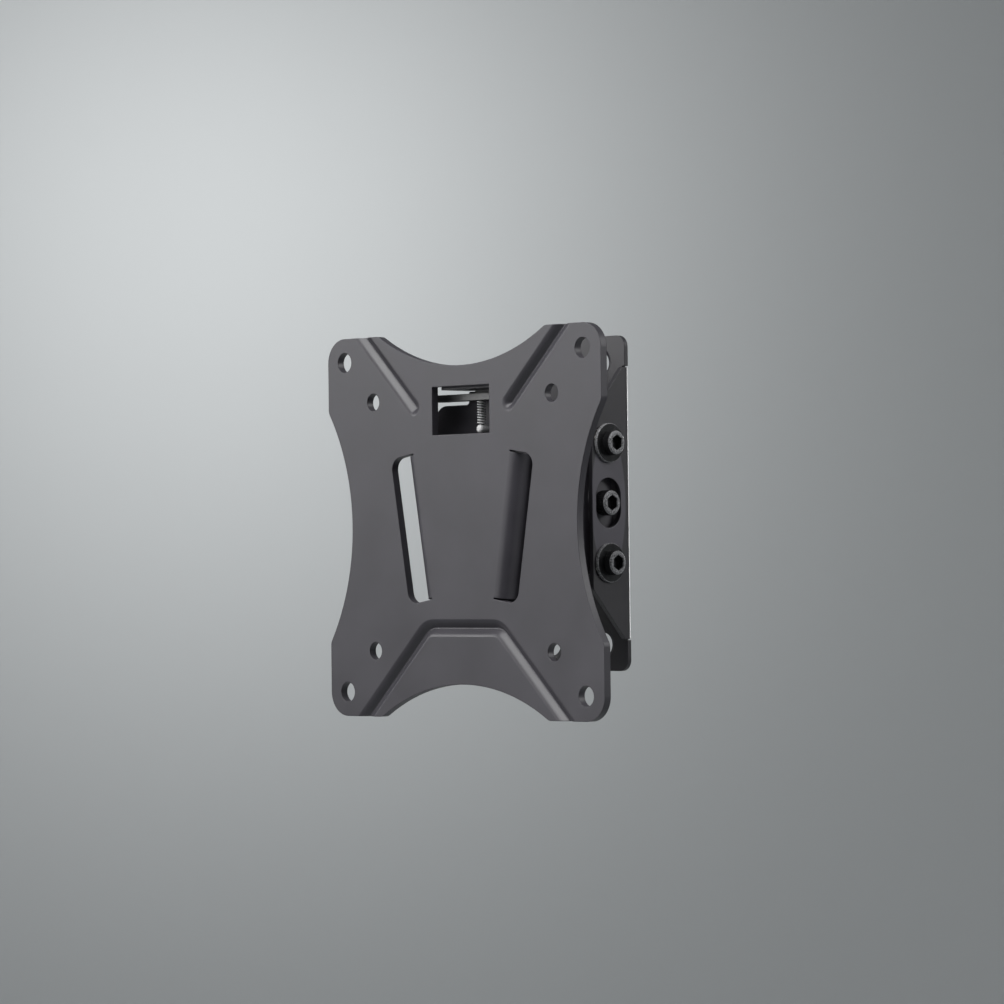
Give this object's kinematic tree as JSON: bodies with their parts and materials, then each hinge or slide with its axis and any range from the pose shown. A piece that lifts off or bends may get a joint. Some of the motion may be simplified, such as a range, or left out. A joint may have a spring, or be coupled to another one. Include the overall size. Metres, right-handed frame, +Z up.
{
  "type": "tilting tv wall bracket",
  "caption": "Tilting wall bracket for a small screen: folded wall plate, tilt yoke on clamp bolts in curved slots, and a pressed front plate held by a sprung lock bar.",
  "frame": {"origin": "middle of the wall plate's back face, level with the row of clamp bolts", "axes": "+Z up, +Y into the wall, +X to the right for someone facing the screen side"},
  "size_m": [0.1146, 0.05, 0.1146],
  "materials": {
    "black_powder_coat": "satin fine-textured powder coat",
    "black_oxide_steel": "glossy black oxide",
    "zinc_steel": "bright zinc plating",
    "nylon": "natural matte nylon"
  },
  "bodies": {
    "wall": {"wall_plate": "black_powder_coat"},
    "head": {"tilt_yoke": "black_powder_coat", "cross_rod": "zinc_steel", "v_receiver": "black_powder_coat", "vesa_plate": "black_powder_coat", "spring_pin": "zinc_steel", "lock_spring": "zinc_steel", "middle_bolt_left": "black_oxide_steel", "middle_bolt_right": "black_oxide_steel", "clamp_bolt_lower_left": "black_oxide_steel", "clamp_washer_lower_left": "black_oxide_steel", "friction_washer_lower_left": "nylon", "lock_nut_lower_left": "zinc_steel", "receiver_rivet_lower_left": "zinc_steel", "clamp_bolt_upper_left": "black_oxide_steel", "clamp_washer_upper_left": "black_oxide_steel", "friction_washer_upper_left": "nylon", "lock_nut_upper_left": "zinc_steel", "receiver_rivet_upper_left": "zinc_steel", "clamp_bolt_lower_right": "black_oxide_steel", "clamp_washer_lower_right": "black_oxide_steel", "friction_washer_lower_right": "nylon", "lock_nut_lower_right": "zinc_steel", "receiver_rivet_lower_right": "zinc_steel", "clamp_bolt_upper_right": "black_oxide_steel", "clamp_washer_upper_right": "black_oxide_steel", "friction_washer_upper_right": "nylon", "lock_nut_upper_right": "zinc_steel", "receiver_rivet_upper_right": "zinc_steel"},
    "lock": {"lock_bar": "zinc_steel", "lock_guide_rod": "zinc_steel", "lock_clip": "zinc_steel"}
  },
  "joints": [
    {"name": "tilt", "type": "hinge", "parent": "wall", "child": "head", "pos_m": [0, -0.024, 0], "axis": [1, 0, 0], "range_deg": [-10, 10]},
    {"name": "lock_press", "type": "slide", "parent": "head", "child": "lock", "axis": [0, 0, 1], "range_m": [-0.003, 0], "stiffness_N_per_m": 400, "springref_m": 0.004, "deforming": ["lock_spring"]}
  ]
}
